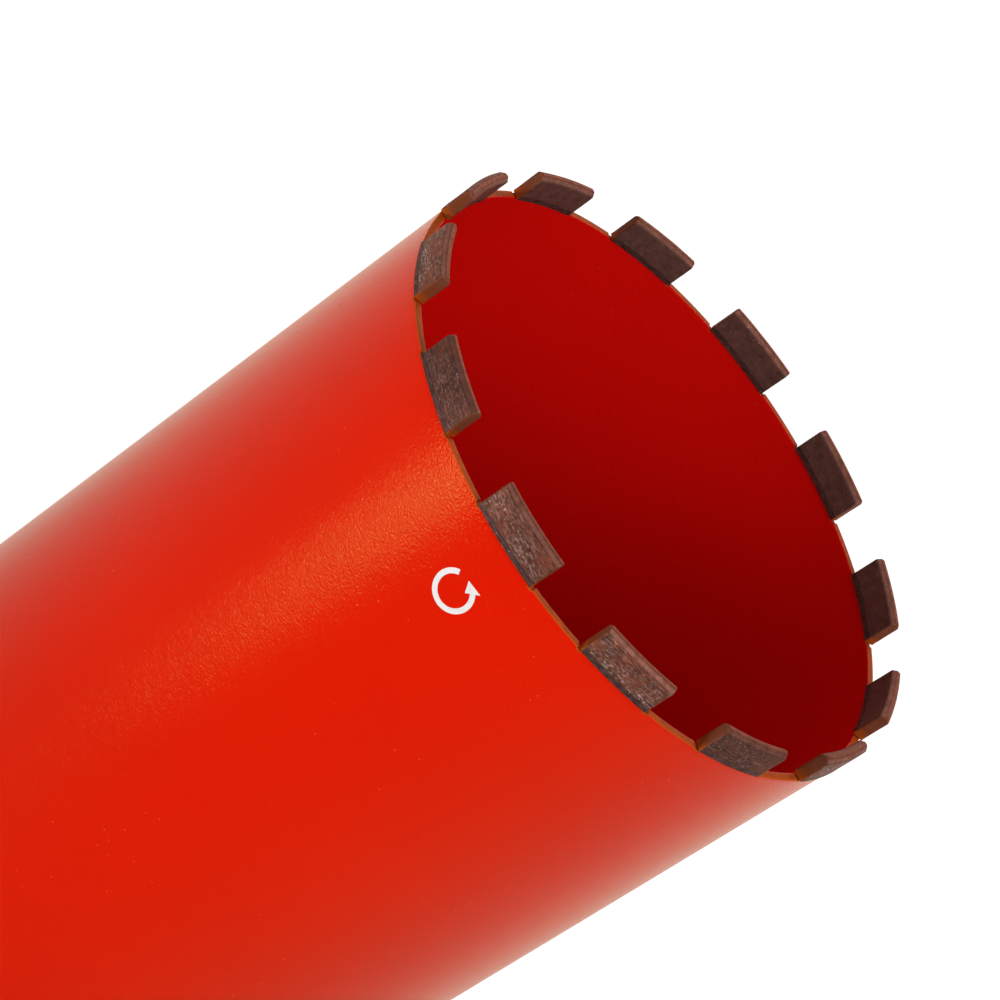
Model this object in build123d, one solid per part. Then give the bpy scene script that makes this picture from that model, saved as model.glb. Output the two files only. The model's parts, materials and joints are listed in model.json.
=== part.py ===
from build123d import *
from math import sqrt
import os

# Wet-drilling core bit, in millimetres. A thin steel barrel carries a ring of cutting
# segments on its rim, and a plate with a threaded hub closes its other end.
# The bit stands on its hub: the origin is on the axis at the hub's end face, and +Z runs
# along the axis to the crown. The first segment is centred on -Y.

# Cutting crown
crown_diameter = 182.0
segment_count = 13
first_segment_angle = -90.0
segment_length = 24.0
segment_thickness = 3.5
segment_height = 10.5
crown_chamfer = 1.2
segment_end_radius = 0.8

# Barrel
barrel_length = 450.0
barrel_wall = 2.3
outer_relief = 0.5
notch_width = 2.4
notch_floor = 1.2
notch_depth = 0.8

# Back plate
flange_thickness = 4.0
spigot_height = 5.0
spigot_clearance = 0.1
plate_edge_chamfer = 1.5

# Hub, with a unified inch thread
inch = 25.4
thread_depth_share = 5 * sqrt(3) / 16
thread_major_diameter = 31.75
threads_per_inch = 7
hub_across_flats = 41.0
hub_hex_length = 34.0
hub_corner_chamfer = 2.0
collar_step = 5.0
collar_height = 4.0
neck_wall = 3.0
neck_clearance = 0.1
neck_stand_out = 1.0
mouth_clearance = 0.4
inner_mouth_chamfer = 1.0

# Radii and heights that follow from the sizes above
crown_radius = crown_diameter / 2
segment_inner_radius = crown_radius - segment_thickness
barrel_radius = crown_radius - outer_relief
barrel_inner_radius = barrel_radius - barrel_wall
thread_pitch = inch / threads_per_inch
thread_height = thread_depth_share * thread_pitch
thread_minor_radius = thread_major_diameter / 2 - thread_height
mouth_chamfer = thread_height + mouth_clearance
neck_radius = thread_major_diameter / 2 + neck_wall
collar_radius = neck_radius + collar_step
plate_base = hub_hex_length + collar_height
barrel_base = plate_base + flange_thickness
plate_top = barrel_base + spigot_height
hub_height = plate_top + neck_stand_out
rim_height = barrel_base + barrel_length
crown_height = rim_height + segment_height
segment_pitch = 360 / segment_count

# How far a cutting shape reaches past what it cuts
cut_margin = 5.0


def disc(radius, height, base):
    """A solid disc on the axis, from base upward."""
    return Pos(0, 0, base) * Cylinder(radius, height, align=(Align.CENTER, Align.CENTER, Align.MIN))


def edges_at(solid, height):
    """The edges of a solid that lie flat at one height."""
    return solid.edges().filter_by_position(Axis.Z, height, height)


def smallest_edge_at(solid, height):
    """The smallest full circle among the edges at one height."""
    return edges_at(solid, height).filter_by(GeomType.CIRCLE).sort_by(SortBy.RADIUS)[0]


def segment_angle(index):
    """Where one segment's middle stands round the axis, in degrees."""
    return first_segment_angle + index * segment_pitch


def make_notches():
    """The small weld notches in the rim, one across each end of every segment's foot."""
    outline = Polyline(
        (-notch_width / 2, rim_height + cut_margin),
        (-notch_width / 2, rim_height),
        (-notch_floor / 2, rim_height - notch_depth),
        (notch_floor / 2, rim_height - notch_depth),
        (notch_width / 2, rim_height),
        (notch_width / 2, rim_height + cut_margin),
        close=True,
    )
    cutter = extrude(Plane.YZ * make_face(outline), barrel_radius + cut_margin)
    notches = []
    for index in range(segment_count):
        for side in (-1, 1):
            notch = Pos(0, side * segment_length / 2, 0) * cutter
            notches.append(Rot(0, 0, segment_angle(index)) * notch)
    return notches


def make_barrel():
    """The rolled steel tube, with its rim notched."""
    tube = disc(barrel_radius, barrel_length, barrel_base)
    tube -= disc(barrel_inner_radius, barrel_length, barrel_base)
    return tube - make_notches()


def make_end_plate():
    """The turned plate under the barrel: a flange of its width and a spigot inside it."""
    plate = disc(barrel_radius, flange_thickness, plate_base)
    plate = chamfer(edges_at(plate, plate_base), plate_edge_chamfer)
    plate += disc(barrel_inner_radius - spigot_clearance, spigot_height, barrel_base)
    return plate - disc(neck_radius + neck_clearance, plate_top - plate_base, plate_base)


def make_hub():
    """The hexagonal hub: wrench flats, collar, and a neck through the plate, bored for the thread."""
    corner_radius = hub_across_flats / sqrt(3)
    hexagon = extrude(RegularPolygon(corner_radius, 6), hub_hex_length)
    turned = disc(corner_radius, hub_hex_length, 0)
    turned = chamfer(edges_at(turned, 0), hub_corner_chamfer)
    hub = hexagon & turned
    hub += disc(collar_radius, collar_height, hub_hex_length)
    hub += disc(neck_radius, hub_height - plate_base, plate_base)
    hub -= disc(thread_minor_radius, hub_height, 0)
    hub = chamfer(smallest_edge_at(hub, 0), mouth_chamfer)
    return chamfer(smallest_edge_at(hub, hub_height), inner_mouth_chamfer)


def make_segment():
    """One cutting segment on the +X side, curved with the barrel, its foot square on the rim."""
    shoulder = crown_height - crown_chamfer
    outline = Polyline(
        (segment_inner_radius, rim_height),
        (crown_radius, rim_height),
        (crown_radius, shoulder),
        (crown_radius - crown_chamfer, crown_height),
        (segment_inner_radius + crown_chamfer, crown_height),
        (segment_inner_radius, shoulder),
        close=True,
    )
    ring = revolve(Plane.XZ * make_face(outline), Axis.Z)
    middle = Pos(crown_radius, 0, rim_height)
    segment = ring & middle * Box(crown_radius, segment_length, 2 * segment_height + cut_margin)
    ends = []
    for end in (-segment_length / 2, segment_length / 2):
        ends += segment.edges().filter_by_position(Axis.Y, end, end)
    foot = edges_at(segment, rim_height)
    return fillet([edge for edge in ends if edge not in foot], segment_end_radius)


def write_part(name, solid):
    """Writes one piece to its own file, named after the piece."""
    solid.label = name
    export_step(solid, f"parts/{name}.step")


os.makedirs("parts", exist_ok=True)
write_part("barrel", make_barrel())
write_part("end_plate", make_end_plate())
write_part("hub", make_hub())
plain_segment = make_segment()
for index in range(segment_count):
    write_part(f"segment_{index + 1:02d}", Rot(0, 0, segment_angle(index)) * plain_segment)
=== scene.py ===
"""The looks of a wet-drilling core bit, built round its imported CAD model. Lengths are metres.

The bit stands on its hub with its crown up. Radii and heights come from the frame.
"""

import json
import math

import bmesh
import bpy
import numpy as np
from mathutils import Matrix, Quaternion, Vector, noise

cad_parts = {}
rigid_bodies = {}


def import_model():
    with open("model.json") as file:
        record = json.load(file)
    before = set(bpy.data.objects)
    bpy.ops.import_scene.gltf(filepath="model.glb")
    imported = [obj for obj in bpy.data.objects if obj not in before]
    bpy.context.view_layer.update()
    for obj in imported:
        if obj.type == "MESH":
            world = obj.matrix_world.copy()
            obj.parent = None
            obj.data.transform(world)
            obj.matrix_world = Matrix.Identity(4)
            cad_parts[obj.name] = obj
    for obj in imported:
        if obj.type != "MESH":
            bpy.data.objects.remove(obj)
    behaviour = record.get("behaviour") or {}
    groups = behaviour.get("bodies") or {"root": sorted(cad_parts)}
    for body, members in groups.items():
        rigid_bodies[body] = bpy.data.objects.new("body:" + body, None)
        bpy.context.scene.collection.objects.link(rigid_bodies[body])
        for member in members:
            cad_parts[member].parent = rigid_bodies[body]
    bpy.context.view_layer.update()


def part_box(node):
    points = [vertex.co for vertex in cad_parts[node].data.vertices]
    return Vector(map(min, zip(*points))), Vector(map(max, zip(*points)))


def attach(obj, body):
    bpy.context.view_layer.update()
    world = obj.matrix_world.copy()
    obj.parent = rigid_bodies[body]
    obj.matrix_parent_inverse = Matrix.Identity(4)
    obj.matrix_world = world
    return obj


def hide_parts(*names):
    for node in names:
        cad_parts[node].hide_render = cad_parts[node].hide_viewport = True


MM = 0.001
FULL_TURN = 2 * math.pi

# Camera, seen from the point on the bit that it looks at
CAMERA_AIM = Vector((-0.01836, -0.00179, 0.44959))
CAMERA_DISTANCE = 0.94596
CAMERA_AZIMUTH = 5.57
CAMERA_ELEVATION = 28.53
CAMERA_ROLL = 55.31
CAMERA_LENS = 125.32
SENSOR_WIDTH = 36.0

# Barrel
BARREL_WALL = 2.3 * MM
RIM_EDGE_RADIUS = 0.3 * MM
NOTCH_WIDTH = 2.4 * MM
NOTCH_FLOOR = 1.2 * MM
NOTCH_DEPTH = 0.8 * MM
WELD_FILL = 0.3 * MM
WALL_STEPS = 12
CORNER_STEPS = 4
COLUMNS_PER_SEGMENT = 16
COLUMNS_PER_NOTCH = 21

# Half the angle that a notch's close columns cover, and the least gap between columns, in degrees
NOTCH_SPREAD = 1.0
COLUMN_GAP = 0.03

# End plate
FIT_CLEARANCE = 0.1 * MM
PLATE_CHAMFER = 1.5 * MM
SPIGOT_CHAMFER = 0.4 * MM
FLANGE_GROOVE = 0.5 * MM
PLATE_COLUMNS = 360

# Hub
ACROSS_FLATS = 41.0 * MM
HEX_LENGTH = 34.0 * MM
HEX_CHAMFER = 2.0 * MM
HEX_CHAMFER_STEPS = 10
HEX_BACK_CHAMFER = 0.4 * MM
COLLAR_STEP = 5.0 * MM
NECK_WALL = 3.0 * MM
NECK_CHAMFER = 0.3 * MM
MOUTH_CLEARANCE = 0.4 * MM
THREAD_MAJOR_RADIUS = 31.75 * MM / 2
THREAD_PITCH = 25.4 * MM / 7
THREAD_HEIGHT = 5 * math.sqrt(3) / 16 * THREAD_PITCH
HUB_COLUMNS = 180
BORE_STEPS = 230

# Welds at the hub, each leg measured outwards and upwards from its corner
COLLAR_WELD_LEGS = (3.0 * MM, -3.0 * MM)
COLLAR_RIPPLE_LENGTH = 2.2 * MM
NECK_WELD_LEGS = (2.2 * MM, 0.8 * MM)
NECK_RIPPLE_LENGTH = 2.0 * MM
RIPPLE_SHARE = 0.16
RIPPLE_DRIFT_SCALE = 9
WELD_COLUMNS = 900
WELD_STEPS = 8

# Cutting segments
SEGMENT_COUNT = 13
FIRST_SEGMENT_ANGLE = -90.0
SEGMENT_THICKNESS = 3.5 * MM
CROWN_CHAMFER = 1.2 * MM
END_RADIUS = 0.8 * MM
WORN_EDGE = 0.18 * MM
BACKING_HEIGHT = 1.7 * MM
SEGMENT_SLICES = 24
SEGMENT_LEVELS = 8
SEGMENT_LAYERS = 3

# Edges that count as crisp turn by more than this, in degrees, and ends face along the segment
CRISP_ANGLE = 25
END_FACING = 0.7

# Wear that takes the segments' faces back unevenly
WEAR_DEPTH = 0.045 * MM
WEAR_SWING = 0.03 * MM
FINE_WEAR_SCALE = 700
COARSE_WEAR_SCALE = 210

# Printed arrow, its angles in degrees
ARROW_ANGLE = -88.6
ARROW_HEIGHT = 473.5 * MM
RING_RADIUS = 5.2 * MM
RING_STROKE = 1.5 * MM
RING_START = 125
RING_SWEEP = 285
RING_STEPS = 60
HEAD_HALF_WIDTH = 2.1 * MM
HEAD_LENGTH = 3.6 * MM
INK_LIFT = 0.03 * MM

# Enamel: colours from dark to light, weight of the sheen and share of the specks, which are partly
# dust and partly painted glints
OUTER_ENAMEL = (((0.74, 0.0030, 0.0001), (0.78, 0.0044, 0.0002)), 0.6, 0.4)
# The inner enamel is the outer one made darker and a touch bluer: painted shade for the barrel's
# inside
SHADED_INNER_ENAMEL = (((0.70, 0.0040, 0.0022), (0.74, 0.0052, 0.0026)), 0.0, 0.1)
# Speck colour, much lighter than the enamel: partly dust, partly a painted glint
DUST_AND_GLINT_COLOUR = (0.85, 0.22, 0.08)
PEEL_DEPTH = 0.11 * MM
DUST_DEPTH = 0.05 * MM

# Two bits of grit caught in the enamel, as (angle in degrees, height)
GRIT_PLACES = ((-152.6, 461.6 * MM), (-155.7, 443.8 * MM))
GRIT_COLOUR = (0.06, 0.012, 0.006)
GRIT_CORE = 0.25 * MM
GRIT_RADIUS = 0.5 * MM

# Rim paint: colours from thick to worn through, and the lighter band at the outer edge: thicker
# paint there and a painted highlight on the rounded edge
RIM_PAINT_TONES = ((0.56, 0.080, 0.008), (0.44, 0.070, 0.009), (0.28, 0.060, 0.015))
RIM_EDGE_HIGHLIGHT_COLOUR = (0.66, 0.105, 0.012)
RIM_EDGE_START = 0.55 * MM
RIM_EDGE_END = 0.2 * MM
RIM_RELIEF_DEPTH = 0.08 * MM

# Noise cells per metre round the bit and along it, for what is ground, turned or sprayed
PEEL_GRAIN = (1300.0, 2400.0)
SCRATCH_GRAIN = (420.0, 2500.0)
CHIP_GRAIN = (820.0, 2700.0)
TOOL_MARK_GRAIN = (45.0, 5200.0)

# Segment colours from dark to light, and where the mottle changes from one to the next
MOTTLE_STOPS = (0.34, 0.66)
GROUND_STOPS = (0.34, 0.50, 0.66)
GROUND_TONES = ((0.060, 0.020, 0.014), (0.098, 0.034, 0.023), (0.17, 0.058, 0.038))
PRESSED_TONES = ((0.100, 0.050, 0.040), (0.165, 0.083, 0.067))
CHAMFER_TONES = ((0.170, 0.060, 0.042), (0.30, 0.120, 0.088))
CROWN_TONES = ((0.130, 0.036, 0.021), (0.22, 0.062, 0.038))
BACKING_TONES = ((0.030, 0.015, 0.014), (0.105, 0.052, 0.044))
RUDDY_COLOUR = (0.21, 0.060, 0.034)
COPPER_COLOUR = (0.50, 0.165, 0.095)
SILVER_COLOUR = (0.50, 0.40, 0.36)
# Dark of the gouges, partly their own and partly painted shade in them; also the painted shade cast
# over darker segments
GOUGE_SHADE_COLOUR = (0.036, 0.016, 0.013)
# Painted shade along the chamfer's edges
SHADE_LINE_COLOUR = (0.045, 0.020, 0.016)
DIAMOND_COLOUR = (0.60, 0.52, 0.42)
SEGMENT_RELIEF_DEPTH = 0.12 * MM

# Where the segments' colours change: from the outer face, the shoulder, the crown and the rim
OUTSIDE_BAND = (0.35 * MM, 0.1 * MM)
CHAMFER_BAND = 0.12 * MM
CHAMFER_LINE_END = 0.30 * MM
CROWN_LINE_BAND = (0.36 * MM, 0.26 * MM)
CROWN_BAND = (0.30 * MM, 0.18 * MM)
COPPER_BAND = (3.0 * MM, 8.0 * MM)
BACKING_BAND = (BACKING_HEIGHT * 0.85, BACKING_HEIGHT * 1.1)
POOL_BAND = (0.4 * MM, 3.0 * MM)

# Segment finishes: a cast over the colour, the cast's share, and the share of bright scratches. The
# cast is painted shade on plain and dull segments and painted light on bright ones, which also get
# more bright scratches
PLAIN_FINISH = (GOUGE_SHADE_COLOUR, 0.06, 0.62)
SHADED_DULL_FINISH = (GOUGE_SHADE_COLOUR, 0.46, 0.4)
LIT_BRIGHT_FINISH = ((0.34, 0.125, 0.080), 0.06, 1.0)
# Segments painted darker and lighter: partly a real difference between segments, partly painted
# shade and light after how brightly each was lit
SHADED_DULL_SEGMENTS = (3, 13)
LIT_BRIGHT_SEGMENTS = (2, 12)

# Paint that drifted onto the segments' ends and pooled at their feet
DRIFT_COLOUR = (0.20, 0.040, 0.006)
POOL_COLOUR = (0.40, 0.070, 0.006)

# Machined steel and printed ink, from dark to light
STEEL_TONES = ((0.22, 0.215, 0.21), (0.34, 0.335, 0.33))
TOOL_MARK_DEPTH = 0.03 * MM
INK_TONES = ((0.80, 0.72, 0.69), (0.86, 0.83, 0.81))

# Studio floor: its glow rises from near the bit to far from it
FLOOR_SIZE = 8.0
FLOOR_CELLS = 4
FLOOR_COLOUR = (0.84, 0.84, 0.84)
GLOW_START, GLOW_END = 0.4, 1.8
NEAR_GLOW, FAR_GLOW = 0.50, 0.74

# Studio light that falls on the bit from all round, and the lamps, as
# (name, place, aim, width, height, power, spread in degrees)
ROOM_LIGHT = 0.32
LAMPS = (
    ("side_softbox", (-0.365, -0.64, 0.205), (-0.03, -0.08, 0.535), 0.22, 0.06, 0.54, 80),
    ("key_softbox", (0.82, -0.66, 1.2), (0.0, 0.0, 0.45), 0.8, 0.8, 7.8, 180),
    ("back_softbox", (-0.3, 1.1, 1.2), (0.0, 0.0, 0.35), 0.8, 0.8, 4.5, 180),
)


# Mesh helpers


def mesh_object(name, vertices, faces, material, sharp_angle=35):
    """A new smooth-shaded object, with edges sharper than the angle kept crisp."""
    mesh = bpy.data.meshes.new(name)
    mesh.from_pydata([tuple(v) for v in vertices], [], faces)
    mesh.validate()
    mesh.shade_smooth()
    mesh.set_sharp_from_angle(angle=math.radians(sharp_angle))
    mesh.materials.append(material)
    piece = bpy.data.objects.new(name, mesh)
    bpy.context.scene.collection.objects.link(piece)
    return piece


def ring_faces(rows, columns):
    """Quads between neighbouring rows of a grid that runs all the way round in both directions."""
    faces = []
    for row in range(rows):
        above = (row + 1) % rows
        for column in range(columns):
            right = (column + 1) % columns
            faces.append(
                (
                    row * columns + column,
                    row * columns + right,
                    above * columns + right,
                    above * columns + column,
                )
            )
    return faces


def turned(name, radii, heights, angles, material, sharp_angle=35):
    """A closed body turned round the axis.

    The radii and heights are tables of rows by angles, with the bottom of the outside first.
    """
    points = np.stack([radii * np.cos(angles), radii * np.sin(angles), heights], axis=-1)
    faces = ring_faces(*radii.shape)
    return mesh_object(name, points.reshape(-1, 3), faces, material, sharp_angle)


def profile_rows(profile, count):
    """A plain profile of (radius, height) points as tables of rows by angles."""
    radii = np.array([[radius] * count for radius, _ in profile])
    heights = np.array([[height] * count for _, height in profile])
    return radii, heights


def even_angles(count):
    """Angles that share out a full turn, in radians."""
    return np.linspace(0, FULL_TURN, count, endpoint=False)


def turned_point(radius, angle, height):
    """The point at a radius, an angle in degrees and a height."""
    turn = math.radians(angle)
    return Vector((radius * math.cos(turn), radius * math.sin(turn), height))


def rounded_corner(centre, radius, start, end):
    """Points on an arc, as (radius, height), from one angle to another in degrees."""
    points = []
    for step in range(CORNER_STEPS + 1):
        angle = math.radians(start + (end - start) * step / CORNER_STEPS)
        points.append((centre[0] + radius * math.cos(angle), centre[1] + radius * math.sin(angle)))
    return points


# Material helpers


class Nodes:
    """Builds a material's node tree in short calls."""

    def __init__(self, name):
        self.material = bpy.data.materials.new(name)
        self.material.use_nodes = True
        self.tree = self.material.node_tree
        self.tree.nodes.clear()
        self.output = self.tree.nodes.new("ShaderNodeOutputMaterial")
        self.shader = self.tree.nodes.new("ShaderNodeBsdfPrincipled")
        self.link(self.shader.outputs[0], self.output.inputs["Surface"])

    def link(self, source, target):
        self.tree.links.new(source, target)

    def put(self, socket, value):
        """Sets an input to a number or colour, or links it to another node's output."""
        if isinstance(value, bpy.types.NodeSocket):
            self.link(value, socket)
        elif isinstance(value, tuple) and len(value) == 3 and socket.type == "RGBA":
            socket.default_value = (*value, 1.0)
        else:
            socket.default_value = value

    def surface(self, **settings):
        for name, value in settings.items():
            self.put(self.shader.inputs[name.replace("_", " ")], value)

    def math(self, operation, *values):
        node = self.tree.nodes.new("ShaderNodeMath")
        node.operation = operation
        for socket, value in zip(node.inputs, values):
            self.put(socket, value)
        return node.outputs[0]

    def product(self, first, second):
        return self.math("MULTIPLY", first, second)

    def position(self):
        return self.tree.nodes.new("ShaderNodeTexCoord").outputs["Object"]

    def split(self, vector):
        node = self.tree.nodes.new("ShaderNodeSeparateXYZ")
        self.put(node.inputs[0], vector)
        return node.outputs[0], node.outputs[1], node.outputs[2]

    def radius(self):
        """The distance from the bit's axis."""
        x, y, z = self.split(self.position())
        return self.math("SQRT", self.math("ADD", self.product(x, x), self.product(y, y)))

    def combine(self, x, y, z):
        node = self.tree.nodes.new("ShaderNodeCombineXYZ")
        for socket, value in zip(node.inputs, (x, y, z)):
            self.put(socket, value)
        return node.outputs[0]

    def distance(self, vector, point):
        node = self.tree.nodes.new("ShaderNodeVectorMath")
        node.operation = "DISTANCE"
        self.put(node.inputs[0], vector)
        node.inputs[1].default_value = point
        return node.outputs["Value"]

    def noise(self, vector, scale, detail=2.0, roughness=0.5):
        node = self.tree.nodes.new("ShaderNodeTexNoise")
        self.put(node.inputs["Vector"], vector)
        node.inputs["Scale"].default_value = scale
        node.inputs["Detail"].default_value = detail
        node.inputs["Roughness"].default_value = roughness
        return node.outputs["Fac"]

    def grain(self, cells, detail, roughness=0.5):
        """Noise in streaks round the axis, from its cells per metre round the bit and along it."""
        around, along = cells
        x, y, z = self.split(self.position())
        squeezed = self.combine(
            self.product(x, around),
            self.product(y, around),
            self.product(self.math("ADD", z, self.radius()), along),
        )
        return self.noise(squeezed, 1.0, detail, roughness)

    def cells(self, vector, scale):
        """The distance to the nearest of many scattered points."""
        node = self.tree.nodes.new("ShaderNodeTexVoronoi")
        self.put(node.inputs["Vector"], vector)
        node.inputs["Scale"].default_value = scale
        return node.outputs["Distance"]

    def span(self, value, low, high, to_low=0.0, to_high=1.0):
        """Maps a value from one range to another and holds it there."""
        node = self.tree.nodes.new("ShaderNodeMapRange")
        self.put(node.inputs["Value"], value)
        node.inputs["From Min"].default_value = low
        node.inputs["From Max"].default_value = high
        node.inputs["To Min"].default_value = to_low
        node.inputs["To Max"].default_value = to_high
        return node.outputs["Result"]

    def blend(self, share, first, second):
        """Mixes two colours. They are inputs 6 and 7 of a mix node, and the mix is output 2."""
        node = self.tree.nodes.new("ShaderNodeMix")
        node.data_type = "RGBA"
        self.put(node.inputs["Factor"], share)
        self.put(node.inputs[6], first)
        self.put(node.inputs[7], second)
        return node.outputs[2]

    def ramp(self, value, places, colours):
        """A colour ramp with a colour at each place."""
        node = self.tree.nodes.new("ShaderNodeValToRGB")
        self.put(node.inputs[0], value)
        elements = node.color_ramp.elements
        while len(elements) < len(places):
            elements.new(1.0)
        for element, place, colour in zip(elements, places, colours):
            element.position = place
            element.color = (*colour, 1.0)
        return node.outputs[0]

    def bump(self, height, distance, strength=1.0, normal=None):
        node = self.tree.nodes.new("ShaderNodeBump")
        node.inputs["Strength"].default_value = strength
        node.inputs["Distance"].default_value = distance
        self.put(node.inputs["Height"], height)
        if normal is not None:
            self.put(node.inputs["Normal"], normal)
        return node.outputs[0]


class WorldNodes(Nodes):
    """The same short calls for the world's node tree."""

    def __init__(self, world):
        world.use_nodes = True
        self.tree = world.node_tree
        self.background = self.tree.nodes["Background"]
        self.background.inputs["Color"].default_value = (1, 1, 1, 1)


# Materials


def enamel_material(name, barrel_radius, finish):
    """Orange-red stoved enamel: orange peel drawn out round the barrel, light specks that are
    partly dust and partly painted glints, and bits of grit.
    """
    tones, sheen, glinting_dust_share = finish
    nodes = Nodes(name)
    place = nodes.position()
    cloud = nodes.noise(place, 14.0, detail=3.0)
    colour = nodes.ramp(cloud, (0.3, 0.7), tones)
    # Specks painted much lighter than the enamel: partly dust, partly painted glints
    dust_and_glint_speck = nodes.span(nodes.cells(place, 260.0), 0.045, 0.075, 1.0, 0.0)
    dust_and_glint_speck = nodes.product(dust_and_glint_speck, nodes.span(nodes.noise(place, 40.0), 0.55, 0.62))
    colour = nodes.blend(nodes.product(dust_and_glint_speck, glinting_dust_share), colour, DUST_AND_GLINT_COLOUR)
    for angle, height in GRIT_PLACES:
        reach = nodes.distance(place, tuple(turned_point(barrel_radius, angle, height)))
        grit = nodes.span(reach, GRIT_CORE, GRIT_RADIUS, 0.8, 0.0)
        colour = nodes.blend(grit, colour, GRIT_COLOUR)
    relief = nodes.bump(nodes.grain(PEEL_GRAIN, 1.0), PEEL_DEPTH)
    relief = nodes.bump(dust_and_glint_speck, DUST_DEPTH, strength=0.6, normal=relief)
    rough = nodes.span(cloud, 0.3, 0.7, 0.19, 0.23)
    nodes.surface(Base_Color=colour, Roughness=rough, Normal=relief)
    nodes.surface(Specular_IOR_Level=0.09, Specular_Tint=(0.7, 1.0, 0.18))
    nodes.surface(Sheen_Weight=sheen, Sheen_Roughness=0.42, Sheen_Tint=(0.75, 0.40, 0.0))
    return nodes.material


def rim_material(barrel_radius):
    """Thin orange paint on the rim's sawn steel, brown where it wore through, lighter at the outer
    edge with thick paint and a painted highlight.
    """
    nodes = Nodes("thin_rim_paint")
    place = nodes.position()
    wear = nodes.noise(place, 420.0, detail=4.0, roughness=0.6)
    thin = nodes.ramp(wear, (0.32, 0.55, 0.74), RIM_PAINT_TONES)
    # The outer edge painted lighter: thicker paint and a painted highlight on the rounded edge
    edge = nodes.span(nodes.radius(), barrel_radius - RIM_EDGE_START, barrel_radius - RIM_EDGE_END)
    colour = nodes.blend(nodes.product(edge, 0.6), thin, RIM_EDGE_HIGHLIGHT_COLOUR)
    relief = nodes.bump(nodes.noise(place, 900.0), RIM_RELIEF_DEPTH, strength=0.8)
    nodes.surface(Base_Color=colour, Roughness=0.5, Normal=relief)
    nodes.surface(Specular_IOR_Level=0.03, Specular_Tint=(0.9, 0.6, 0.25))
    return nodes.material


def scratched_face(nodes, z, rim_height, mottle, scratches, chips, glint):
    """The ground outer face: ruddy patches, silver scratches low down and copper ones higher up."""
    patch = nodes.noise(nodes.position(), 130.0, detail=1.0)
    colour = nodes.ramp(mottle, GROUND_STOPS, GROUND_TONES)
    ruddy = nodes.span(patch, 0.45, 0.68, 0.0, 0.6)
    colour = nodes.blend(ruddy, colour, RUDDY_COLOUR)
    high = nodes.span(z, rim_height + COPPER_BAND[0], rim_height + COPPER_BAND[1])
    copper = nodes.span(scratches, 0.56, 0.73)
    copper = nodes.product(copper, nodes.span(high, 0.0, 1.0, 0.3, glint))
    colour = nodes.blend(copper, colour, COPPER_COLOUR)
    silver = nodes.product(nodes.span(chips, 0.50, 0.68), nodes.span(patch, 0.66, 0.42))
    silver = nodes.product(silver, nodes.span(high, 0.0, 1.0, glint, 0.25))
    colour = nodes.blend(silver, colour, SILVER_COLOUR)
    # Gouges darkened: partly their own dark, partly painted shade
    gouge_shade = nodes.span(scratches, 0.34, 0.46, 0.8, 0.0)
    return nodes.blend(gouge_shade, colour, GOUGE_SHADE_COLOUR)


def segment_nodes(name, finish, rim_height, crown_height, outer_radius):
    """Sintered bronze and diamond grit, ground round the bit, on a darker backing without grit."""
    light_and_shade_cast_colour, light_and_shade_cast_share, glint = finish
    nodes = Nodes(name)
    place = nodes.position()
    z = nodes.split(place)[2]
    scratches = nodes.grain(SCRATCH_GRAIN, 3.0, 0.6)
    chips = nodes.grain(CHIP_GRAIN, 2.0, 0.6)
    mottle = nodes.noise(place, 420.0, detail=4.0, roughness=0.65)

    # Faces, from the inner face outwards and up to the crown
    shoulder = crown_height - CROWN_CHAMFER
    outside_start, outside_end = (outer_radius - depth for depth in OUTSIDE_BAND)
    outside = nodes.span(nodes.radius(), outside_start, outside_end)
    chamfer = nodes.span(z, shoulder, shoulder + CHAMFER_BAND)
    flat = nodes.span(z, crown_height - CROWN_BAND[0], crown_height - CROWN_BAND[1])
    ground = scratched_face(nodes, z, rim_height, mottle, scratches, chips, glint)
    colour = nodes.blend(outside, nodes.ramp(mottle, MOTTLE_STOPS, PRESSED_TONES), ground)
    colour = nodes.blend(chamfer, colour, nodes.ramp(mottle, MOTTLE_STOPS, CHAMFER_TONES))
    # Painted shade over the plain and dull segments' faces, painted light over the bright ones
    colour = nodes.blend(light_and_shade_cast_share, colour, light_and_shade_cast_colour)
    colour = nodes.blend(flat, colour, nodes.ramp(mottle, MOTTLE_STOPS, CROWN_TONES))

    # Painted shade: dark lines along both edges of the chamfer, where shade falls in the creases
    line_end = nodes.span(z, shoulder + CHAMFER_BAND, shoulder + CHAMFER_LINE_END)
    lower_shade_line = nodes.math("SUBTRACT", chamfer, line_end)
    line_start, line_full = (crown_height - depth for depth in CROWN_LINE_BAND)
    upper_shade_line = nodes.math("SUBTRACT", nodes.span(z, line_start, line_full), flat)
    shade_line = nodes.product(nodes.math("MAXIMUM", lower_shade_line, upper_shade_line), 0.55)
    colour = nodes.blend(shade_line, colour, SHADE_LINE_COLOUR)

    # Backing at the foot, and diamonds here and there
    backing_full, backing_end = (rim_height + rise for rise in BACKING_BAND)
    backing = nodes.span(z, backing_full, backing_end, 1.0, 0.0)
    dark = nodes.ramp(scratches, (0.35, 0.65), BACKING_TONES)
    colour = nodes.blend(backing, colour, dark)
    diamond = nodes.span(nodes.cells(place, 900.0), 0.12, 0.24, 0.3, 0.0)
    seldom = nodes.span(nodes.noise(place, 300.0), 0.56, 0.62)
    colour = nodes.blend(nodes.product(diamond, seldom), colour, DIAMOND_COLOUR)

    height = nodes.math("ADD", nodes.product(scratches, 0.6), nodes.product(mottle, 0.5))
    relief = nodes.bump(height, SEGMENT_RELIEF_DEPTH, strength=0.7)
    rough = nodes.span(chips, 0.35, 0.7, 0.60, 0.42)
    nodes.surface(Roughness=rough, Normal=relief, Specular_Tint=(1.0, 0.55, 0.38))
    return nodes, colour


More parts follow.
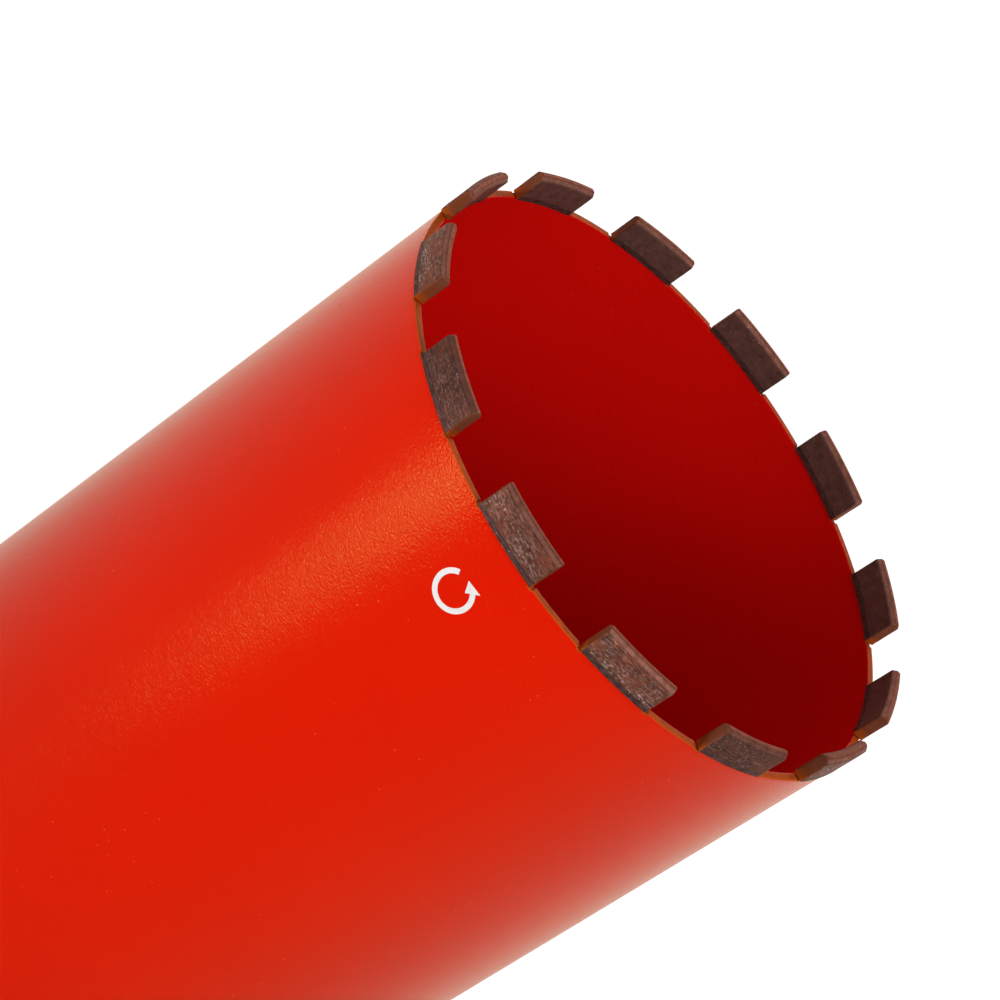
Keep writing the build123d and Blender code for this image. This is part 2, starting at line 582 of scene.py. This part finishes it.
def segment_material(name, finish, rim_height, crown_height, outer_radius):
    """A segment's faces that the wheel or the press left bare."""
    nodes, colour = segment_nodes(name, finish, rim_height, crown_height, outer_radius)
    nodes.surface(Base_Color=colour, Metallic=0.35, Specular_IOR_Level=0.1)
    return nodes.material


def segment_end_material(rim_height, crown_height, outer_radius):
    """The ends, where the barrel's orange paint has drifted on, most of it at the foot."""
    name = "oversprayed_segment_end"
    nodes, colour = segment_nodes(name, PLAIN_FINISH, rim_height, crown_height, outer_radius)
    place = nodes.position()
    z = nodes.split(place)[2]
    drift = nodes.span(z, rim_height, crown_height, 1.0, 0.55)
    patches = nodes.span(nodes.noise(place, 260.0), 0.3, 0.6, 0.75, 1.0)
    colour = nodes.blend(nodes.product(drift, patches), colour, DRIFT_COLOUR)
    pool = nodes.span(z, rim_height + POOL_BAND[0], rim_height + POOL_BAND[1], 0.8, 0.0)
    colour = nodes.blend(pool, colour, POOL_COLOUR)
    nodes.surface(Base_Color=colour, Metallic=0.1, Specular_IOR_Level=0.05)
    return nodes.material


def steel_material():
    """Turned and milled steel with fine tool marks and a trace of oil."""
    nodes = Nodes("machined_steel")
    marks = nodes.grain(TOOL_MARK_GRAIN, 3.0, 0.6)
    stain = nodes.noise(nodes.position(), 55.0, detail=4.0)
    colour = nodes.ramp(stain, (0.3, 0.7), STEEL_TONES)
    rough = nodes.span(marks, 0.3, 0.7, 0.26, 0.42)
    relief = nodes.bump(marks, TOOL_MARK_DEPTH, strength=0.5)
    nodes.surface(Base_Color=colour, Metallic=1.0, Roughness=rough, Normal=relief)
    return nodes.material


def ink_material():
    """White pad-printed ink, a little uneven."""
    nodes = Nodes("white_ink")
    cover = nodes.noise(nodes.position(), 900.0, detail=3.0)
    colour = nodes.ramp(cover, (0.3, 0.55), INK_TONES)
    nodes.surface(Base_Color=colour, Roughness=0.45)
    return nodes.material


# Barrel, plate and hub


def notch_angles(pitch, radius, half_length):
    """The angles of the middles of all the rim notches, in degrees."""
    lean = math.degrees(math.asin(half_length / radius))
    middles = []
    for index in range(SEGMENT_COUNT):
        segment_middle = FIRST_SEGMENT_ANGLE + index * pitch
        middles += [segment_middle - lean, segment_middle + lean]
    return middles


def barrel_angles(middles, pitch):
    """Columns round the barrel, in radians: even ones, and close ones across each notch."""
    angles = list(np.arange(0, 360, pitch / COLUMNS_PER_SEGMENT))
    for middle in middles:
        angles += list(middle + np.linspace(-NOTCH_SPREAD, NOTCH_SPREAD, COLUMNS_PER_NOTCH))
    angles = np.unique(np.round(np.mod(angles, 360), 4))
    gaps = np.diff(np.append(angles, angles[0] + 360))
    return np.radians(angles[gaps > COLUMN_GAP])


def notch_depths(angles, middles, radius):
    """How deep the rim is cut at each angle, with some weld left in the notches."""
    depth = np.zeros_like(angles)
    for middle in middles:
        offset = np.angle(np.exp(1j * (angles - math.radians(middle)))) * radius
        slope = (NOTCH_WIDTH / 2 - np.abs(offset)) / ((NOTCH_WIDTH - NOTCH_FLOOR) / 2)
        slope = np.clip(slope, 0, 1)
        depth = np.maximum(depth, (NOTCH_DEPTH - WELD_FILL) * slope * slope * (3 - 2 * slope))
    return depth


def make_barrel(base, rim, radius, middles, pitch, paints):
    """The tube, with rounded rim edges and the notches pressed into its rim.

    The paints are for the outside, the rim and the inside.
    """
    inner = radius - BARREL_WALL
    edge = RIM_EDGE_RADIUS
    angles = barrel_angles(middles, pitch)
    depth = notch_depths(angles, middles, radius)
    wall_height = rim - 2 * NOTCH_DEPTH - base
    wall = [base + wall_height * step / WALL_STEPS for step in range(WALL_STEPS + 1)]
    outside = [(radius - FLANGE_GROOVE, base), (radius, base + FLANGE_GROOVE)]
    outside += [(radius, height) for height in wall[1:]]
    top = rounded_corner((radius - edge, rim - edge), edge, 0, 90)
    top += rounded_corner((inner + edge, rim - edge), edge, 90, 180)
    inside = [(inner, height) for height in reversed(wall)]
    radii, heights = profile_rows(outside + top + inside, len(angles))
    first, last = len(outside), len(outside) + len(top)
    heights[first:last] -= depth
    barrel = turned("barrel_tube", radii, heights, angles, paints[0])
    for paint in paints[1:]:
        barrel.data.materials.append(paint)
    for polygon in barrel.data.polygons:
        row = polygon.index // len(angles)
        if row >= first:
            polygon.material_index = 1 if row < first + len(top) // 2 else 2
    return barrel


def weld_ripples(angles, ripple_length, radius):
    """How full a weld bead is at each angle, with its ripples and a slow drift. 1 is full."""
    count = round(FULL_TURN * radius / ripple_length)
    wave = np.abs(np.sin(angles * count / 2))
    drift = [noise.noise(turned_point(RIPPLE_DRIFT_SCALE, a, 0)) for a in np.degrees(angles)]
    return 0.6 + 0.3 * wave + 0.25 * np.array(drift)


def make_weld(name, corner, legs, ripple_length, material):
    """A fillet weld round the axis, whose legs run outwards and upwards from a (radius, height)."""
    angles = even_angles(WELD_COLUMNS)
    ripple = weld_ripples(angles, ripple_length, corner[0])
    turn = np.linspace(0, math.pi / 2, WELD_STEPS + 1)
    out = np.concatenate([[0.0], np.cos(turn)])
    up = np.concatenate([[0.0], np.sin(turn)])
    bulge = np.concatenate([[0.0], np.sin(2 * turn)])
    crown = RIPPLE_SHARE * np.outer(bulge, ripple - 1)
    radii = corner[0] + legs[0] * (out[:, None] + crown)
    heights = corner[1] + legs[1] * (up[:, None] + crown)
    return turned(name, radii, heights, angles, material, sharp_angle=60)


def make_end_plate(base, top, flange_top, radius, inner, hole, paint):
    """The plate that closes the barrel: chamfered flange, spigot, and the hub's hole."""
    angles = even_angles(PLATE_COLUMNS)
    profile = [
        (hole, base),
        (radius - PLATE_CHAMFER, base),
        (radius, base + PLATE_CHAMFER),
        (radius, flange_top - FLANGE_GROOVE),
        (radius - FLANGE_GROOVE, flange_top),
        (inner, flange_top),
        (inner, top - SPIGOT_CHAMFER),
        (inner - SPIGOT_CHAMFER, top),
        (hole, top),
    ]
    radii, heights = profile_rows(profile, len(angles))
    return turned("end_plate_disc", radii, heights, angles, paint, sharp_angle=30)


def hexagon_radius(angles):
    """The distance from the axis to the hexagon's flats at each angle."""
    lean = np.mod(angles, math.pi / 3) - math.pi / 6
    return ACROSS_FLATS / 2 / np.cos(lean)


def thread_radius(angles, height):
    """The wall of a right-hand internal thread with flat roots and crests, at one height."""
    turn = np.mod(height / THREAD_PITCH - angles / FULL_TURN, 1.0)
    distance = np.abs(turn - 0.5) * THREAD_PITCH
    flank = (distance - THREAD_PITCH / 8) * math.sqrt(3)
    depth = np.clip(flank, 0, THREAD_HEIGHT)
    return THREAD_MAJOR_RADIUS - THREAD_HEIGHT + depth


def make_hub(plate_base, height, neck, collar, steel):
    """The hub: chamfered hexagon, collar and neck outside, a real helical thread inside."""
    angles = even_angles(HUB_COLUMNS)
    hexagon = hexagon_radius(angles)
    corner = ACROSS_FLATS / math.sqrt(3)
    rows = []
    for step in range(HEX_CHAMFER_STEPS + 1):
        rise = HEX_CHAMFER * step / HEX_CHAMFER_STEPS
        rows.append((np.minimum(hexagon, corner - (HEX_CHAMFER - rise)), rise))
    rows += [
        (hexagon, HEX_LENGTH - HEX_BACK_CHAMFER),
        (np.minimum(hexagon, corner - HEX_BACK_CHAMFER), HEX_LENGTH),
        (collar, HEX_LENGTH),
        (collar, plate_base),
        (neck, plate_base),
        (neck, height - NECK_CHAMFER),
        (neck - NECK_CHAMFER, height),
    ]
    for step in range(BORE_STEPS + 1):
        level = height - height * step / BORE_STEPS
        lead_in = THREAD_MAJOR_RADIUS + MOUTH_CLEARANCE - level
        lead_out = THREAD_MAJOR_RADIUS - (height - level)
        rows.append((np.maximum(thread_radius(angles, level), max(lead_in, lead_out)), level))
    radii = np.array([np.broadcast_to(radius, angles.shape) for radius, _ in rows])
    heights = np.array([np.full(angles.shape, level) for _, level in rows])
    return turned("threaded_hub", radii, heights, angles, steel, sharp_angle=28)


# Cutting segments


def segment_point(along, radius, height):
    """A point of a segment centred on -Y, where its ends are flat and square."""
    return Vector((along, -math.sqrt(radius * radius - along * along), height))


def segment_mesh(rim, crown, outer, half_length):
    """One segment as a bmesh: a curved bar with a chamfered crown and square ends."""
    shoulder = crown - CROWN_CHAMFER
    inner = outer - SEGMENT_THICKNESS
    last_i, last_j, last_k = SEGMENT_SLICES, SEGMENT_LEVELS + 1, SEGMENT_LAYERS
    levels = [rim + (shoulder - rim) * j / SEGMENT_LEVELS for j in range(last_j)] + [crown]
    bm = bmesh.new()
    grid = {}
    for i in range(last_i + 1):
        along = half_length * (2 * i / last_i - 1)
        for j, level in enumerate(levels):
            trim = CROWN_CHAMFER if level == crown else 0.0
            for k in range(last_k + 1):
                if 0 < i < last_i and 0 < j < last_j and 0 < k < last_k:
                    continue
                radius = inner + trim + (outer - inner - 2 * trim) * k / last_k
                grid[i, j, k] = bm.verts.new(segment_point(along, radius, level))

    def quad(*corners):
        bm.faces.new([grid[corner] for corner in corners])

    for i in range(last_i):
        for j in range(last_j):
            quad((i, j, 0), (i, j + 1, 0), (i + 1, j + 1, 0), (i + 1, j, 0))
            quad((i, j, last_k), (i + 1, j, last_k), (i + 1, j + 1, last_k), (i, j + 1, last_k))
        for k in range(last_k):
            quad((i, 0, k), (i + 1, 0, k), (i + 1, 0, k + 1), (i, 0, k + 1))
            quad((i, last_j, k), (i, last_j, k + 1), (i + 1, last_j, k + 1), (i + 1, last_j, k))
    for j in range(last_j):
        for k in range(last_k):
            quad((0, j, k), (0, j, k + 1), (0, j + 1, k + 1), (0, j + 1, k))
            quad((last_i, j, k), (last_i, j + 1, k), (last_i, j + 1, k + 1), (last_i, j, k + 1))
    bmesh.ops.recalc_face_normals(bm, faces=bm.faces)
    return bm


def round_off(bm, edges, width, steps):
    """Rounds some edges of a bmesh. A profile of 0.5 is a round one."""
    bmesh.ops.bevel(
        bm,
        geom=edges,
        offset=width,
        offset_type="OFFSET",
        segments=steps,
        profile=0.5,
        affect="EDGES",
        clamp_overlap=True,
    )


def round_segment(bm, rim, half_length):
    """Rounds the ends generously and the long edges a little, and leaves the foot square."""
    touch = 0.01 * MM

    def crisp(edge):
        return len(edge.link_faces) == 2 and edge.calc_face_angle() > math.radians(CRISP_ANGLE)

    def above_foot(edge):
        return max(v.co.z for v in edge.verts) > rim + touch

    def at_end(edge):
        return all(abs(abs(v.co.x) - half_length) < touch for v in edge.verts)

    ends = [e for e in bm.edges if crisp(e) and above_foot(e) and at_end(e)]
    round_off(bm, ends, END_RADIUS, 5)
    long_edges = [e for e in bm.edges if crisp(e) and above_foot(e) and not at_end(e)]
    round_off(bm, long_edges, WORN_EDGE, 3)


def wear_segment(bm, rim, turn):
    """Turns a segment to its place and takes its faces back unevenly, less near the foot."""
    for vertex in bm.verts:
        place = turn @ vertex.co
        swing = noise.noise(place * FINE_WEAR_SCALE) + noise.noise(place * COARSE_WEAR_SCALE)
        above = min(1.0, max(0.0, (vertex.co.z - rim) / MM))
        lift = (swing * WEAR_SWING - WEAR_DEPTH) * above
        vertex.co = place + (turn @ vertex.normal) * lift


def make_segment(index, pitch, rim, crown, outer, half_length, face_material, end_material):
    """One worn cutting segment in its place on the rim, standing for its CAD node."""
    bm = segment_mesh(rim, crown, outer, half_length)
    round_segment(bm, rim, half_length)
    bm.normal_update()
    for face in bm.faces:
        if abs(face.normal.x) > END_FACING:
            face.material_index = 1
    wear_segment(bm, rim, Quaternion((0, 0, 1), math.radians(index * pitch)))
    name = f"segment_{index + 1:02d}"
    mesh = bpy.data.meshes.new("cutting_" + name)
    bm.to_mesh(mesh)
    bm.free()
    mesh.shade_smooth()
    mesh.set_sharp_from_angle(angle=math.radians(40))
    mesh.materials.append(face_material)
    mesh.materials.append(end_material)
    piece = bpy.data.objects.new("cutting_" + name, mesh)
    bpy.context.scene.collection.objects.link(piece)
    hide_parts(name)
    return piece


# Print


def make_arrow(radius, material):
    """A plain rotation arrow printed on the barrel: three quarters of a ring and its head."""
    start, sweep = math.radians(RING_START), math.radians(RING_SWEEP)
    end = start + sweep
    outline = []
    for step in range(RING_STEPS + 1):
        angle = start + sweep * step / RING_STEPS
        outline += [(RING_RADIUS - RING_STROKE / 2, angle), (RING_RADIUS + RING_STROKE / 2, angle)]
    faces = [(2 * s, 2 * s + 1, 2 * s + 3, 2 * s + 2) for s in range(RING_STEPS)]
    faces.append(tuple(range(len(outline), len(outline) + 3)))
    outline.append((RING_RADIUS - HEAD_HALF_WIDTH, end))
    outline.append((RING_RADIUS + HEAD_HALF_WIDTH, end))
    outline.append((RING_RADIUS, end + HEAD_LENGTH / RING_RADIUS))
    points = []
    for reach, angle in outline:
        place = ARROW_ANGLE + math.degrees(reach * math.cos(angle) / radius)
        height = ARROW_HEIGHT + reach * math.sin(angle)
        points.append(turned_point(radius + INK_LIFT, place, height))
    return mesh_object("rotation_arrow", points, faces, material)


# Studio


def light_level(nodes, unseen):
    """White for camera, mirror and glass rays, and a lower strength for light on the bit."""
    path = nodes.tree.nodes.new("ShaderNodeLightPath")
    seen = nodes.math("MAXIMUM", path.outputs["Is Camera Ray"], path.outputs["Is Glossy Ray"])
    seen = nodes.math("MAXIMUM", seen, path.outputs["Is Transmission Ray"])
    return nodes.span(seen, 0.0, 1.0, unseen, 1.0)


def make_floor():
    """A wide pale floor that looks white and keeps the bit's shadow, as it glows less near it."""
    bpy.ops.mesh.primitive_grid_add(
        x_subdivisions=FLOOR_CELLS, y_subdivisions=FLOOR_CELLS, size=FLOOR_SIZE
    )
    floor = bpy.context.object
    floor.name = "studio_floor"
    nodes = Nodes("pale_floor")
    nodes.surface(Base_Color=FLOOR_COLOUR, Roughness=0.9, Specular_IOR_Level=0.0)
    nodes.surface(Emission_Color=(1.0, 1.0, 1.0))
    glow = nodes.span(nodes.radius(), GLOW_START, GLOW_END, NEAR_GLOW, FAR_GLOW)
    nodes.surface(Emission_Strength=nodes.product(glow, light_level(nodes, 0.0)))
    floor.data.materials.append(nodes.material)


def make_world():
    """White where it is seen, and a soft even light elsewhere."""
    world = bpy.data.worlds.new("studio")
    bpy.context.scene.world = world
    nodes = WorldNodes(world)
    nodes.put(nodes.background.inputs["Strength"], light_level(nodes, ROOM_LIGHT))


def make_lamp(name, place, aim, width, height, power, spread):
    """A softbox at a place, turned to what it lights. A grid narrows its spread."""
    data = bpy.data.lights.new(name, "AREA")
    data.shape = "RECTANGLE"
    data.size = width
    data.size_y = height
    data.energy = power
    data.spread = math.radians(spread)
    lamp = bpy.data.objects.new(name, data)
    lamp.location = place
    lamp.rotation_mode = "QUATERNION"
    lamp.rotation_quaternion = (Vector(aim) - Vector(place)).to_track_quat("-Z", "Y")
    bpy.context.scene.collection.objects.link(lamp)


def make_camera():
    """The photograph's view."""
    azimuth, elevation = math.radians(CAMERA_AZIMUTH), math.radians(CAMERA_ELEVATION)
    back = Vector(
        (
            math.sin(azimuth) * math.cos(elevation),
            -math.cos(azimuth) * math.cos(elevation),
            math.sin(elevation),
        )
    )
    data = bpy.data.cameras.new("camera")
    data.lens = CAMERA_LENS
    data.sensor_width = SENSOR_WIDTH
    data.clip_start = 0.01
    camera = bpy.data.objects.new("camera", data)
    camera.location = CAMERA_AIM + back * CAMERA_DISTANCE
    camera.rotation_mode = "QUATERNION"
    level = (-back).to_track_quat("-Z", "Y")
    camera.rotation_quaternion = level @ Quaternion((0, 0, 1), math.radians(CAMERA_ROLL))
    bpy.context.scene.collection.objects.link(camera)
    bpy.context.scene.camera = camera


# The scene

for leftover in list(bpy.data.objects):
    bpy.data.objects.remove(leftover)
bpy.context.scene.view_settings.view_transform = "Standard"
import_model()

barrel_low, barrel_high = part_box("barrel")
plate_low, plate_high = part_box("end_plate")
_, hub_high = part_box("hub")
segment_low, segment_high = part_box("segment_01")
barrel_base, rim_height = barrel_low.z, barrel_high.z
barrel_radius = barrel_high.y
spigot_radius = barrel_radius - BARREL_WALL - FIT_CLEARANCE
plate_base, plate_top = plate_low.z, plate_high.z
hub_height = hub_high.z
crown_height = segment_high.z
crown_radius = -segment_low.y
half_length = segment_high.x
segment_pitch = 360 / SEGMENT_COUNT
notch_middles = notch_angles(segment_pitch, barrel_radius, half_length)
neck_radius = THREAD_MAJOR_RADIUS + NECK_WALL
hole_radius = neck_radius + FIT_CLEARANCE
collar_radius = neck_radius + COLLAR_STEP

enamel = enamel_material("orange_red_enamel", barrel_radius, OUTER_ENAMEL)
# The inside's enamel is painted darker, as painted shade
shaded_inner_enamel = enamel_material("painted_shade_inner_enamel", barrel_radius, SHADED_INNER_ENAMEL)
rim_paint = rim_material(barrel_radius)
segment_sizes = (rim_height, crown_height, crown_radius)
plain = segment_material("sintered_segment", PLAIN_FINISH, *segment_sizes)
shaded_dull_material = segment_material("shaded_dull_sintered_segment", SHADED_DULL_FINISH, *segment_sizes)
lit_bright_material = segment_material("lit_bright_sintered_segment", LIT_BRIGHT_FINISH, *segment_sizes)
sprayed = segment_end_material(*segment_sizes)
steel = steel_material()
ink = ink_material()

paints = (enamel, rim_paint, shaded_inner_enamel)
barrel = make_barrel(barrel_base, rim_height, barrel_radius, notch_middles, segment_pitch, paints)
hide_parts("barrel")
plate = make_end_plate(
    plate_base, plate_top, barrel_base, barrel_radius, spigot_radius, hole_radius, enamel
)
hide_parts("end_plate")
hub = make_hub(plate_base, hub_height, neck_radius, collar_radius, steel)
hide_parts("hub")
collar_corner = (collar_radius, plate_base)
neck_corner = (neck_radius, plate_top)
collar_weld = make_weld("collar_weld", collar_corner, COLLAR_WELD_LEGS, COLLAR_RIPPLE_LENGTH, steel)
neck_weld = make_weld("neck_weld", neck_corner, NECK_WELD_LEGS, NECK_RIPPLE_LENGTH, steel)
arrow = make_arrow(barrel_radius, ink)
for painted in (barrel, plate):
    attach(painted, "root")
for bare in (hub, collar_weld, neck_weld):
    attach(bare, "root")
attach(arrow, "root")
# Darker and lighter segment copies: partly painted shade and light
face_materials = [plain] * SEGMENT_COUNT
for number in SHADED_DULL_SEGMENTS:
    face_materials[number - 1] = shaded_dull_material
for number in LIT_BRIGHT_SEGMENTS:
    face_materials[number - 1] = lit_bright_material
for index, face_material in enumerate(face_materials):
    segment = make_segment(
        index, segment_pitch, *segment_sizes, half_length, face_material, sprayed
    )
    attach(segment, "root")

make_floor()
make_world()
for lamp in LAMPS:
    make_lamp(*lamp)
make_camera()
